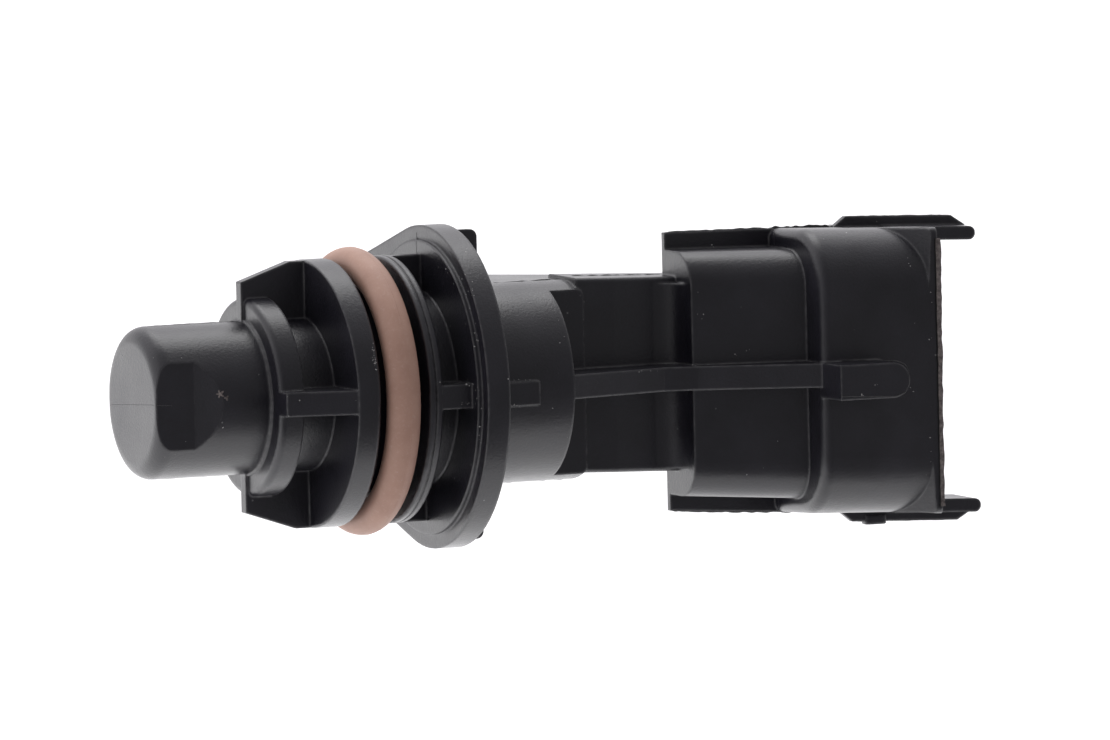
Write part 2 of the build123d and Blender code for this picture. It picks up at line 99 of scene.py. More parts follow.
# %% [markdown]
# ## Where a mark in the picture lies on the part
# Some marks, such as dust, are easiest to place by where the picture shows them. A ray from
# the camera through that pixel meets the housing in one point, and the mark is built there,
# in the housing's own frame, so it stays on the plastic from every side.

# %% Rays from the camera to the housing
housing_tree = BVHTree.FromPolygons([v.co.copy() for v in housing.data.vertices],
                                    [tuple(p.vertices) for p in housing.data.polygons])


def ray_through(pixel_x, pixel_y):
    """Direction from the camera through a pixel: the look direction plus the pixel's offset
    from the middle of the picture, divided by the focal length in pixels."""
    across = (pixel_x - PICTURE_WIDTH / 2) / PIXEL_FOCUS
    above = (PICTURE_HEIGHT / 2 - pixel_y) / PIXEL_FOCUS
    way = look + across * camera_right + above * camera_up
    return way / np.linalg.norm(way)


def spot_on_housing(pixel_x, pixel_y):
    """The point and the outward normal where the ray through a pixel first meets the housing."""
    way = ray_through(pixel_x, pixel_y)
    point, normal, _, _ = housing_tree.ray_cast(Vector(camera_place), Vector(way))
    if point is None:
        return None
    return np.array(point), np.array(normal)


NOSE_PIXEL = (170, 400)
nose_point, _ = spot_on_housing(*NOSE_PIXEL)
print("pixel", NOSE_PIXEL, "lies on the nose at", (nose_point / MM).round(2), "mm")

# %% [markdown]
# ## Node helpers
# Every finish below is a small network of shader nodes. A helper adds a node, another joins
# two sockets, and all patterns read the Object coordinates, so that they sit on the part like
# the real grain and look the same from each side.

# %% Helpers for materials


class Finish:
    """A new node material with its shader, its output and its Object coordinates ready."""

    def __init__(self, name):
        self.material = bpy.data.materials.new(name)
        self.material.use_nodes = True
        self.tree = self.material.node_tree
        self.shader = self.tree.nodes["Principled BSDF"]
        self.place = self.node("ShaderNodeTexCoord").outputs["Object"]

    def node(self, kind, **settings):
        made = self.tree.nodes.new(kind)
        for key, value in settings.items():
            setattr(made, key, value)
        return made

    def join(self, start, end):
        self.tree.links.new(start, end)

    def feed(self, socket, value):
        """Joins a socket to another socket, or sets its plain value."""
        if isinstance(value, bpy.types.NodeSocket):
            self.join(value, socket)
        else:
            socket.default_value = value

    def noise(self, scale, detail=3.0, rough=0.5, place=None):
        """Cloudy noise from 0 to 1 with about one lump for each 1 / scale metres."""
        made = self.node("ShaderNodeTexNoise")
        self.join(self.place if place is None else place, made.inputs["Vector"])
        made.inputs["Scale"].default_value = scale
        made.inputs["Detail"].default_value = detail
        made.inputs["Roughness"].default_value = rough
        return made.outputs["Fac"]

    def sums(self, kind, first, second):
        """One step of arithmetic between two values."""
        made = self.node("ShaderNodeMath", operation=kind)
        self.feed(made.inputs[0], first)
        self.feed(made.inputs[1], second)
        return made.outputs[0]

    def spread(self, value, low, high, out_low=0.0, out_high=1.0):
        """Maps value from the range low..high to out_low..out_high and holds it there."""
        made = self.node("ShaderNodeMapRange", clamp=True)
        self.feed(made.inputs["Value"], value)
        made.inputs["From Min"].default_value = low
        made.inputs["From Max"].default_value = high
        made.inputs["To Min"].default_value = out_low
        made.inputs["To Max"].default_value = out_high
        return made.outputs["Result"]

    def blend(self, amount, first, second):
        """Mixes two colours, or a colour socket and a colour, by an amount."""
        made = self.node("ShaderNodeMix", data_type="RGBA")
        self.feed(made.inputs[0], amount)
        for socket, colour in ((made.inputs[6], first), (made.inputs[7], second)):
            self.feed(socket, (*colour, 1.0) if isinstance(colour, tuple) else colour)
        return made.outputs[2]

    def set(self, **values):
        """Sets or joins the shader's sockets, with underscores for the spaces in a name."""
        for key, value in values.items():
            socket = self.shader.inputs[key.replace("_", " ")]
            if isinstance(value, tuple) and len(value) == 3:
                value = (*value, 1.0)
            self.feed(socket, value)

    def relief(self, height, depth, base=None):
        """Bump: shades as if the surface stood out by height times depth metres."""
        made = self.node("ShaderNodeBump")
        made.inputs["Strength"].default_value = 1.0
        made.inputs["Distance"].default_value = depth
        self.join(height, made.inputs["Height"])
        if base is not None:
            self.join(base, made.inputs["Normal"])
        return made.outputs["Normal"]


print("material helpers ready")

# %% [markdown]
# ## Black glass filled plastic
# The housing is nylon or polyester with short glass fibres. It is nearly black, satin rather
# than glossy, and has a fine grain from the spark eroded mould. Moulded edges are never truly
# sharp: a Bevel node rounds them by 0.3 mm in the shading only, so they catch the light as thin
# lines. A painted highlight pales the colour along edges, and a few fibres show as pale specks.

# %% Make the black plastic
EDGE_ROUND = 0.30
# Painted highlight: the colour and share with which edges are painted paler, standing in for the
# light that rounded edges catch.
EDGE_HIGHLIGHT_COLOUR, EDGE_HIGHLIGHT_SHARE = (0.135, 0.133, 0.140), 0.70
SPECK_COLOUR, SPECK_SHARE, SPECK_CELLS = (0.30, 0.30, 0.30), 0.45, 900.0
GRAIN_DEPTH, WAVE_DEPTH = 0.000024, 0.000012


def black_plastic(name, low, high, satin):
    """Colour is a cloudy mix of two blacks, paler along edges as a painted highlight, with sparse
    specks; roughness follows the same clouds round the satin value; the relief is fine grain on
    top of a rounded edge normal."""
    f = Finish(name)
    clouds = f.noise(260.0, 4.0)
    grain = f.noise(5200.0, 4.0, 0.62)
    body = f.blend(f.spread(clouds, 0.3, 0.7), low, high)

    rounded = f.node("ShaderNodeBevel", samples=6)
    rounded.inputs["Radius"].default_value = EDGE_ROUND * MM
    true_normal = f.node("ShaderNodeNewGeometry").outputs["Normal"]
    turn_away = f.node("ShaderNodeVectorMath", operation="DOT_PRODUCT")
    f.join(rounded.outputs["Normal"], turn_away.inputs[0])
    f.join(true_normal, turn_away.inputs[1])
    at_edge = f.spread(turn_away.outputs["Value"], 0.995, 0.86)
    # Painted highlight: the edge mask, broken up by noise, paints the colour paler along edges and
    # makes them a little rougher.
    painted_edge_highlight = f.sums("MULTIPLY", at_edge, f.spread(f.noise(1500.0, 3.0), 0.35, 0.65, 0.25, 1.0))
    body = f.blend(f.sums("MULTIPLY", painted_edge_highlight, EDGE_HIGHLIGHT_SHARE), body, EDGE_HIGHLIGHT_COLOUR)

    cells = f.node("ShaderNodeTexVoronoi", feature="F1")
    f.join(f.place, cells.inputs["Vector"])
    cells.inputs["Scale"].default_value = SPECK_CELLS
    pick = f.node("ShaderNodeSeparateColor")
    f.join(cells.outputs["Color"], pick.inputs[0])
    few = f.spread(pick.outputs[0], 0.955, 0.96)
    small = f.spread(cells.outputs["Distance"], 0.085, 0.05)
    specks = f.sums("MULTIPLY", few, small)
    body = f.blend(f.sums("MULTIPLY", specks, SPECK_SHARE), body, SPECK_COLOUR)

    rough = f.sums("ADD", f.spread(clouds, 0.25, 0.75, satin - 0.04, satin + 0.05),
                   f.sums("MULTIPLY", painted_edge_highlight, 0.06))
    smooth_waves = f.relief(f.noise(700.0, 2.0), WAVE_DEPTH, rounded.outputs["Normal"])
    f.set(Base_Color=body, Roughness=rough, Normal=f.relief(grain, GRAIN_DEPTH, smooth_waves),
          IOR=1.56)
    return f.material


plastic = black_plastic("black_plastic", (0.0086, 0.0080, 0.0122), (0.0155, 0.0146, 0.0212), 0.31)
print("made", plastic.name, "with", len(plastic.node_tree.nodes), "nodes")

# %% [markdown]
# ## Other finishes
# The O-ring is pinkish beige rubber: paler powder on a satin skin. The bush in the ear is zinc
# plated steel, drawn along its length, so its fine streaks run that way. The pins are tin
# plated. The pieces inside the plastic are never seen, but they get honest finishes too.

# %% Make the rubber


def ring_rubber(name):
    """Pinkish beige clouds over a powdery skin, with fine grain for the relief."""
    f = Finish(name)
    clouds = f.noise(420.0, 4.0)
    powder = f.noise(3800.0, 5.0, 0.7)
    body = f.blend(f.spread(clouds, 0.3, 0.7), (0.455, 0.268, 0.205), (0.535, 0.328, 0.255))
    body = f.blend(f.spread(powder, 0.52, 0.78, 0.0, 0.35), body, (0.66, 0.48, 0.41))
    f.set(Base_Color=body, Roughness=f.spread(powder, 0.3, 0.7, 0.48, 0.60),
          Normal=f.relief(powder, 0.000010), IOR=1.45)
    return f.material


print("made", ring_rubber("ring_rubber").name)

# %% Make the metals and the hidden finishes
STREAKS, EVEN = (0.15, 1.0, 1.0), (1.0, 1.0, 1.0)
STREAK_SCALE, STREAK_DEPTH = 900.0, 0.000006


def metal(name, colour, dull, rough, stretch=EVEN, metallic=1.0):
    """Metal with fine streaks: noise stretched along one axis tints the colour towards a
    duller one, changes the roughness and gives the relief."""
    f = Finish(name)
    squeeze = f.node("ShaderNodeMapping")
    f.join(f.place, squeeze.inputs["Vector"])
    squeeze.inputs["Scale"].default_value = stretch
    streaks = f.noise(STREAK_SCALE, 4.0, 0.6, squeeze.outputs["Vector"])
    body = f.blend(f.spread(streaks, 0.35, 0.75), colour, dull)
    f.set(Base_Color=body, Roughness=f.spread(streaks, 0.3, 0.7, rough - 0.06, rough + 0.08),
          Normal=f.relief(streaks, STREAK_DEPTH), Metallic=metallic)
    return f.material


finish_of = {
    "housing": plastic,
    "ring": bpy.data.materials["ring_rubber"],
    "bush": metal("zinc_plated_steel", (0.60, 0.585, 0.54), (0.42, 0.41, 0.38), 0.30, (0.2, 1, 1)),
    "terminal": metal("tin_plate", (0.57, 0.555, 0.52), (0.45, 0.435, 0.41), 0.36, STREAKS),
    "lead": metal("tinned_lead", (0.68, 0.67, 0.65), (0.5, 0.5, 0.48), 0.3, STREAKS),
    "pole": metal("soft_iron", (0.42, 0.41, 0.40), (0.3, 0.29, 0.28), 0.42),
    "magnet": metal("nickel_plate", (0.62, 0.59, 0.54), (0.5, 0.48, 0.44), 0.22),
    "capacitor": metal("brown_ceramic", (0.36, 0.24, 0.14), (0.28, 0.18, 0.10), 0.35,
                       metallic=0.0),
    "carrier": black_plastic("carrier_plastic", (0.028, 0.028, 0.028), (0.04, 0.04, 0.042), 0.5),
    "chip": black_plastic("chip_plastic", (0.016, 0.016, 0.017), (0.024, 0.024, 0.025), 0.55),
}
for node_name, node in frame["nodes"].items():
    slot_name = node.data.materials[0].name
    node.data.materials[0] = finish_of[slot_name.split(".")[0]]
    print(node_name, "gets", node.data.materials[0].name)

# %% [markdown]
# ## Ridges along a path
# Flash is the paper thin fin that molten plastic leaves where two halves of a mould meet. On
# this part the halves meet in the plane through the middle, so the fin runs along the top and
# the bottom of every body. It can be made as a narrow ridge carried along a path, with a
# height that changes at random, because real flash is torn and uneven.

# %% Put arrays into a mesh


def put_mesh(name, points, faces, finish, slot="housing"):
    """Puts points in metres and faces into a new piece that rides on the part."""
    mesh = bpy.data.meshes.new(name)
    mesh.from_pydata(points.tolist(), [], faces)
    mesh.validate()
    mesh.shade_flat()
    mesh.materials.append(finish)
    piece = bpy.data.objects.new(name, mesh)
    bpy.context.scene.collection.objects.link(piece)
    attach(piece, "root")
    return piece


def grid_faces(rows, columns):
    """Four sided faces of a closed tube of rows sections with columns points each."""
    row, column = np.meshgrid(np.arange(rows - 1), np.arange(columns), indexing="ij")
    following = (column + 1) % columns
    quads = np.stack([row * columns + column, row * columns + following,
                      (row + 1) * columns + following, (row + 1) * columns + column], axis=-1)
    return quads.reshape(-1, 4).tolist()


def capped_faces(rows, columns):
    """The faces of such a tube, and one face across each of its two ends."""
    first_end = list(range(columns))[::-1]
    last_end = [(rows - 1) * columns + c for c in range(columns)]
    return grid_faces(rows, columns) + [first_end, last_end]


def turn_outwards(piece):
    """Counts the mesh's volume by its faces' signed cones and flips the mesh if it is negative."""
    mesh = piece.data
    mesh.calc_loop_triangles()
    corners = np.empty(len(mesh.vertices) * 3)
    mesh.vertices.foreach_get("co", corners)
    corners = corners.reshape(-1, 3)
    picks = np.empty(len(mesh.loop_triangles) * 3, dtype=np.int64)
    mesh.loop_triangles.foreach_get("vertices", picks)
    a, b, c = corners[picks.reshape(-1, 3)].transpose(1, 0, 2)
    volume = np.einsum("ij,ij->i", a, np.cross(b, c)).sum() / 6.0
    if volume < 0:
        mesh.flip_normals()
    return abs(volume) / MM ** 3


print("mesh helpers ready")

# %% Build a ridge from arrays


def uneven(count, step, low, high, seed):
    """Smooth random values from low to high: random knots every step samples, joined by
    straight lines and softened by a short running mean."""
    dice = np.random.default_rng(seed)
    knots = dice.random(int(count / step) + 3)
    values = np.interp(np.arange(count) / step, np.arange(len(knots)), knots)
    values = np.convolve(np.pad(values, 2, mode="edge"), np.ones(5) / 5, mode="valid")
    return low + (high - low) * values


def ridge(path, outward, width, height, sunk=0.06):
    """Points and faces of a ridge: at each path point a section of six points, which start
    below the surface, rise to the height along outward, and lean to both sides by width."""
    along = np.gradient(path, axis=0)
    along /= np.linalg.norm(along, axis=1, keepdims=True)
    side = np.cross(along, outward)
    side /= np.linalg.norm(side, axis=1, keepdims=True)
    width = np.broadcast_to(width, len(path))
    lean = np.array([-1.0, -0.75, -0.2, 0.2, 0.75, 1.0])
    rise = np.array([0.0, 0.35, 1.0, 1.0, 0.35, 0.0])
    below = np.array([-sunk, 0.0, 0.0, 0.0, 0.0, -sunk])
    reach = rise[None, :] * height[:, None] + below[None, :]
    points = (path[:, None, :] + side[:, None, :] * (lean[None, :] * width[:, None])[..., None]
              + outward[:, None, :] * reach[..., None])
    return points.reshape(-1, 3) * MM, capped_faces(*points.shape[:2])


print("ridge helper ready")

# %% [markdown]
# ## Flash along the parting plane
# Each stretch of flash starts on the solid's own outline in the plane y = 0. The heights stay
# small, a few hundredths to a few tenths of a millimetre, so that the part keeps its size.

# %% Make the rough plastic
ROUGH_DEPTH = 0.00004


def torn_plastic(name, low, high):
    """Rough plastic without a skin: one coarse noise gives colour, roughness and relief."""
    f = Finish(name)
    coarse = f.noise(2600.0, 5.0, 0.7)
    body = f.blend(f.spread(coarse, 0.32, 0.68), low, high)
    f.set(Base_Color=body, Roughness=f.spread(coarse, 0.3, 0.7, 0.55, 0.8),
          Normal=f.relief(coarse, ROUGH_DEPTH))
    return f.material


dull_flash = torn_plastic("dull_flash", (0.006, 0.006, 0.007), (0.020, 0.019, 0.021))
print("made", dull_flash.name)

# %% Make the flash fins
LEAN_CROSSING, LEAN_SLOPE = 22.9, 0.039
FLASH_STEP, FLASH_TAPER = 0.06, 0.5


def middle_line(x):
    """Height of the plug socket's middle line, which leans down towards the mouth."""
    return (LEAN_CROSSING - x) * LEAN_SLOPE


def flash(name, start_x, end_x, start_z, end_z, height, seed, width, finish):
    """A flash fin along a straight edge from (start_x, start_z) to (end_x, end_z) in the
    parting plane, standing out away from the axis. It has a section every FLASH_STEP mm, its
    height tapers off over FLASH_TAPER mm at both ends, and it wanders a little across."""
    length = np.hypot(end_x - start_x, end_z - start_z)
    count = max(int(length / FLASH_STEP), 8)
    share = np.linspace(0.0, 1.0, count)
    path = np.stack([start_x + (end_x - start_x) * share, np.zeros(count),
                     start_z + (end_z - start_z) * share], axis=1)
    out = np.zeros((count, 3))
    out[:, 2] = np.sign(start_z + end_z)
    taper = np.clip(np.minimum(share, 1.0 - share) * length / FLASH_TAPER, 0.15, 1.0)
    rise = uneven(count, 6, 0.25, 1.0, seed) * height * taper
    path[:, 1] += uneven(count, 9, -0.03, 0.03, seed + 50)
    piece = put_mesh(name, *ridge(path, out, width, rise), finish)
    print(name, "volume", round(turn_outwards(piece), 3), "mm3")


# Each stretch: its name and seed, where it starts and ends along the axis, the body's half
# height at both ends, whether the body leans with the plug socket, the fin's height on top and
# at the bottom, its half width and its finish. Lengths are in mm.
flash_stretches = (
    ("nose", 0, -22.6, -15.0, 5.9, 5.9, False, 0.04, 0.04, 0.09, plastic),
    ("barrel", 2, 2.4, 12.1, 7.72, 7.72, False, 0.09, 0.09, 0.07, dull_flash),
    ("neck", 3, 12.55, 20.4, 7.53, 7.53, True, 0.09, 0.09, 0.07, dull_flash),
    ("ledge", 4, 20.55, 29.2, 10.8, 11.05, True, 0.12, 0.12, 0.16, dull_flash),
    ("large_end", 5, 29.5, 35.2, 11.03, 11.03, True, 0.27, 0.12, 0.12, dull_flash),
    ("guide_fin", 6, 35.9, 44.4, 11.9, 11.9, True, 0.05, 0.05, 0.20, dull_flash))

for side, word, first_seed in ((1.0, "top", 10), (-1.0, "bottom", 30)):
    for (body, seed, start_x, end_x, start_half, end_half, leans, over, under, width,
         finish) in flash_stretches:
        start_z = side * start_half + (middle_line(start_x) if leans else 0.0)
        end_z = side * end_half + (middle_line(end_x) if leans else 0.0)
        flash(f"{body}_flash_{word}", start_x, end_x, start_z, end_z,
              over if side > 0 else under, first_seed + seed, width, finish)

# %% [markdown]
# ## Lines drawn by their place in the picture
# Where plastic flows meet, or where two inserts of the mould touch, the skin keeps a hair
# fine line. Each one is a ridge a few hundredths of a millimetre high. It is laid on the
# housing by casting rays through a few pixels along it, which is quicker and truer than
# working out where each curved face lies.

# %% Lay fine lines on the housing


def trail(pixels, step=1.5):
    """Points on the housing in mm and their outward normals along a line of pixels, taken
    every step pixels; normals are softened by a running mean of five."""
    pixels = np.array(pixels, dtype=float)
    span = np.r_[0.0, np.cumsum(np.hypot(*np.diff(pixels, axis=0).T))]
    at = np.linspace(0.0, span[-1], max(int(span[-1] / step), 5))
    hits = [spot_on_housing(x, y) for x, y in zip(np.interp(at, span, pixels[:, 0]),
                                                   np.interp(at, span, pixels[:, 1]))]
    points, normals = (np.array(part) for part in zip(*[h for h in hits if h is not None]))
    kernel = np.ones(5) / 5
    soft = np.stack([np.convolve(np.pad(n, 2, mode="edge"), kernel, mode="valid")
                     for n in normals.T], axis=1)
    return points / MM, soft / np.linalg.norm(soft, axis=1, keepdims=True)


def fine_line(name, pixels, width, height, seed, finish):
    """A hair line ridge along a trail; its height wanders between half and full."""
    points, normals = trail(pixels)
    rise = uneven(len(points), 4, 0.5, 1.0, seed) * height
    piece = put_mesh(name, *ridge(points, normals, width, rise, 0.03), finish)
    print(name, len(points), "sections, volume", round(turn_outwards(piece), 4), "mm3")


# A much paler black for the line round the latch: a painted highlight along the latch's rounded
# edge.
latch_highlight_plastic = black_plastic("painted_latch_highlight", (0.030, 0.030, 0.033), (0.060, 0.060, 0.064), 0.42)

# Each line: its name and seed, the pixels it runs through, half width and height in mm, and
# its finish.
line_pixels = (
    ("nose_join_line", 101, [(111, 404.5), (140, 404.8), (153, 405.2)], 0.035, 0.012, plastic),
    ("nose_join_line_flat", 102, [(156, 405.4), (172, 405.8)], 0.03, 0.008, plastic),
    ("flange_line", 106, [(416.5, 232.5), (416.2, 253)], 0.045, 0.02, plastic),
    ("ledge_line_top", 103, [(773.5, 231), (774.6, 247)], 0.03, 0.02, plastic),
    ("ledge_line_bottom", 104, [(778, 498), (778.6, 511)], 0.03, 0.02, plastic),
    ("latch_line", 105, [(842, 360.5), (896, 360.5), (905, 364), (909, 371), (909.4, 384),
                         (905.5, 392.5), (896, 396.4), (842, 396.5)], 0.045, 0.03, latch_highlight_plastic))
for line_name, seed, pixels, width, height, finish in line_pixels:
    fine_line(line_name, pixels, width, height, seed, finish)

# %% [markdown]
# ## The torn edge beside the plug's mouth
# At the mouth the mould's sleeve met the outer halves, and the plastic crept between them. It
# left a ragged, grey brown strip, a third of a millimetre wide, with a dark line beside it where
# shade falls. The strip is a ribbon whose free edge wanders; next to it a thinner, near black
# ribbon is painted shade for that line. A pair stands on each upright side of the mouth, from
# corner to corner.

# %% Make the torn edge
torn = torn_plastic("torn_plastic", (0.045, 0.037, 0.036), (0.270, 0.232, 0.222))
# Painted shade: a near black finish for the thin ribbon put where shade falls beside the strip.
shade_line_finish = torn_plastic("crack_plastic", (0.0020, 0.0020, 0.0022), (0.0045, 0.0042, 0.0042))


def ribbon(heights, near_x, far_x, near_y, thickness):
    """Points and faces of an upright ribbon: at each height a rectangle from near_x to far_x,
    with its outer face at near_y and its inner face a thickness deeper."""
    across = np.stack([near_x, far_x, far_x, near_x], axis=1)
    depth = np.stack([near_y, near_y, near_y + thickness, near_y + thickness], axis=1)
    points = np.stack([across, depth, np.repeat(heights[:, None], 4, axis=1)], axis=2)
    return points.reshape(-1, 3) * MM, capped_faces(*points.shape[:2])


# The socket's upright sides, in mm: how far they stand from the parting plane, between which
# heights the strip runs, and where along the axis its free edge and the painted shade line lie.
# The rim climbs towards the latch side, so the middle of its height differs from side to side.
SIDE_REACH = 10.25
STRIP_LOW, STRIP_HIGH, STRIP_STEP = -10.55, 10.25, 0.09
FREE_EDGE_X, FREE_EDGE_SLOPE = 39.40, 0.008
SHADE_LINE_X, SHADE_LINE_SLOPE = 39.02, 0.003
STRIP_DEPTH, SHADE_LINE_WIDTH, SHADE_LINE_GAP, SHADE_LINE_PROUD = 0.22, 0.07, 0.005, 0.012

for face_side, face_word, middle in ((-1.0, "near", -0.12), (1.0, "far", -1.14)):
    heights = np.arange(STRIP_LOW, STRIP_HIGH, STRIP_STEP) + middle
    count = len(heights)
    face_y = face_side * SIDE_REACH
    free_edge = FREE_EDGE_X + FREE_EDGE_SLOPE * heights + uneven(count, 5, -0.07, 0.06, 201)
    wander = SHADE_LINE_X + SHADE_LINE_SLOPE * heights + uneven(count, 4, -0.03, 0.03, 202)
    proud = face_y + face_side * uneven(count, 4, 0.02, 0.07, 203)
    inner = -face_side * STRIP_DEPTH
    strip = put_mesh(f"mouth_edge_{face_word}",
                     *ribbon(heights, wander, free_edge, proud, inner), torn)
    turn_outwards(strip)
    # The second ribbon is painted shade: a dark sheet where shade falls beside the strip.
    shade_line_piece = put_mesh(f"mouth_shade_line_{face_word}",
                   *ribbon(heights, wander - SHADE_LINE_GAP - SHADE_LINE_WIDTH, wander - SHADE_LINE_GAP,
                           np.full(count, face_y + face_side * SHADE_LINE_PROUD), inner), shade_line_finish)
    turn_outwards(shade_line_piece)
    print(strip.name, "and", shade_line_piece.name, count, "sections")

# %% [markdown]
# ## Gate mark and nub
# The plastic entered the mould through a small gate at the foot of the nose. Breaking off the
# sprue left a low star and a splash beside it. Under the socket a pin of the mould left a small
# square nub. They are surfaces over a polar or square grid: height falls from the middle to
# the rim.

# %% Make the gate star


def star_mound(name, centre, outward, radius, height, arms, finish, turn_by=0.0):
    """A low mound: over a disc of polar coordinates the rim's distance is radius times
    (1 + 0.45 cos(arms * angle)), and the height falls as one minus the square of the share
    of that distance. A flat bottom lies a little under the skin."""
    angle = np.linspace(0.0, 2 * np.pi, 48, endpoint=False)
    share = np.linspace(1.0, 0.12, 7)
    rim = radius * (1.0 + 0.45 * np.cos(arms * angle + turn_by))
    flat_x = share[:, None] * rim[None, :] * np.cos(angle)[None, :]
    flat_y = share[:, None] * rim[None, :] * np.sin(angle)[None, :]
    rise = np.repeat(height * (1.0 - share[:, None] ** 2), len(angle), axis=1)
    rise[0] -= 0.05
    first = np.cross(outward, (0.0, 0.0, 1.0))
    first /= np.linalg.norm(first)
    second = np.cross(outward, first)
    points = (centre + flat_x[..., None] * first + flat_y[..., None] * second
              + rise[..., None] * outward)
    piece = put_mesh(name, points.reshape(-1, 3) * MM, capped_faces(*points.shape[:2]), finish)
    print(name, "volume", round(turn_outwards(piece), 4), "mm3")


GATE_PIXEL, SPLASH_PIXEL = (220, 394), (226.5, 398)
gate_point, gate_normal = spot_on_housing(*GATE_PIXEL)
star_mound("gate_star", gate_point / MM, gate_normal, 0.25, 0.05, 5, torn)
splash_point, splash_normal = spot_on_housing(*SPLASH_PIXEL)
star_mound("gate_splash", splash_point / MM, splash_normal, 0.17, 0.04, 3, torn, 0.7)

# %% Make the nub under the socket


def rounded_block(name, centre, half, finish):
    """A small block with rounded corners: a superellipse of power 6 carried down in five
    steps, of which the last two are drawn in."""
    angle = np.linspace(0.0, 2 * np.pi, 40, endpoint=False)
    swell = (np.abs(np.cos(angle)) ** 6 + np.abs(np.sin(angle)) ** 6) ** (-1 / 6)
    steps = np.array([[0.0, 1.0], [0.5, 1.0], [0.85, 1.0], [0.95, 0.97], [1.0, 0.90]])
    points = np.stack([
        centre[0] + half[0] * np.outer(steps[:, 1], swell * np.cos(angle)),
        centre[1] + half[1] * np.outer(steps[:, 1], swell * np.sin(angle)),
        centre[2] - half[2] * np.outer(2 * steps[:, 0] - 1, np.ones(len(angle)))], axis=2)
    piece = put_mesh(name, points.reshape(-1, 3) * MM, capped_faces(*points.shape[:2]), finish)
    print(name, "volume", round(turn_outwards(piece), 4), "mm3")


NUB_CENTRE, NUB_HALF_SIZES = (37.75, 0.0, -12.35), (0.90, 0.5, 0.36)
rounded_block("socket_nub", NUB_CENTRE, NUB_HALF_SIZES, plastic)

# %% [markdown]
# ## Dust and scuffs
# A black part always carries a few pale grains. Each grain is a tiny seven sided flake, flatter
# than it is wide. Some lie near places where the picture shows them, and a cluster of scuffs
# lies on the edge of a disc. The rest are strewn over all sides by a seeded die, so the result
# is the same each time.

# %% Make the dust's finish


def dust_finish(name):
    """Pale grey grains, a little lighter and darker from flake to flake."""
    f = Finish(name)
    body = f.blend(f.spread(f.noise(900.0, 2.0), 0.35, 0.65), (0.30, 0.29, 0.285),
                   (0.70, 0.69, 0.68))
    f.set(Base_Color=body, Roughness=0.8)
    return f.material


dust = dust_finish("pale_dust")
print("made", dust.name)

# %% Build the grains


def flakes(name, spots, sizes, seed, finish, slot="housing"):
    """For each spot a rim of seven points at uneven distances in the skin's plane, sunk a
    little, and one raised middle point."""
    dice = np.random.default_rng(seed)
    centres, normals = (np.array(part) for part in zip(*spots))
    centres = centres / MM
    count = len(centres)
    helper = np.where(np.abs(normals[:, 2:3]) < 0.9, [[0.0, 0.0, 1.0]], [[1.0, 0.0, 0.0]])
    first = np.cross(normals, helper)
    first /= np.linalg.norm(first, axis=1, keepdims=True)
    second = np.cross(normals, first)
    angle = np.linspace(0.0, 2 * np.pi, 7, endpoint=False)[None, :] + dice.random((count, 1))
    reach = sizes[:, None] * dice.uniform(0.55, 1.1, (count, 7))
    stretch = dice.uniform(0.5, 1.0, (count, 1))
    rim = (centres[:, None, :] + first[:, None, :] * (reach * np.cos(angle))[..., None]
           + second[:, None, :] * (reach * stretch * np.sin(angle))[..., None]
           - 0.012 * normals[:, None, :])
    middle = centres[:, None, :] + normals[:, None, :] * (sizes[:, None, None] * 0.35)
    points = np.concatenate([rim, middle], axis=1).reshape(-1, 3) * MM
    base = np.arange(count)[:, None] * 8
    corner = np.arange(7)[None, :]
    sides = np.stack([base + corner, base + (corner + 1) % 7,
                      np.broadcast_to(base + 7, (count, 7))], axis=-1).reshape(-1, 3)
    bottoms = base + corner[:, ::-1]
    piece = put_mesh(name, points, sides.tolist() + bottoms.tolist(), finish, slot)
    print(name, count, "flakes, volume", round(turn_outwards(piece), 5), "mm3")


def grain_sizes(low, high, count, seed):
    """Grain radii in mm from low to high, drawn with their own die."""
    return np.random.default_rng(seed).uniform(low, high, count)


print("grain helpers ready")

# %% Find places for the dust


def near_pixels(marks, seed):
    """Spots on the housing scattered round pixels; each mark is x, y, spread in x, spread in
    y and how many."""
    dice = np.random.default_rng(seed)
    found = []
    for x, y, spread_x, spread_y, count in marks:
        for shift_x, shift_y in dice.normal(0.0, 1.0, (count, 2)):
            spot = spot_on_housing(x + shift_x * spread_x, y + shift_y * spread_y)
            if spot is not None:
                found.append(spot)
    return found


FIRST_X, LAST_X, RAY_START = -23.0, 44.0, 40.0
RAY_LIFT, LIFT_WAY = 6.0, np.array([0.6, 0.0, 0.5])


def all_round(count, seed):
    """Spots where rays meet the housing that come from a wide cylinder round the axis."""
    dice = np.random.default_rng(seed)
    found = []
    for x, turn_angle, lift in zip(dice.uniform(FIRST_X, LAST_X, count),
                                   dice.uniform(0, 2 * np.pi, count),
                                   dice.uniform(-RAY_LIFT, RAY_LIFT, count)):
        outward = np.array([0.0, np.cos(turn_angle), np.sin(turn_angle)])
        start = np.array([x, 0.0, 0.0]) + RAY_START * outward + lift * LIFT_WAY
        point, normal, _, _ = housing_tree.ray_cast(Vector(start * MM), Vector(-outward))
        if point is not None:
            found.append((np.array(point), np.array(normal)))
    return found


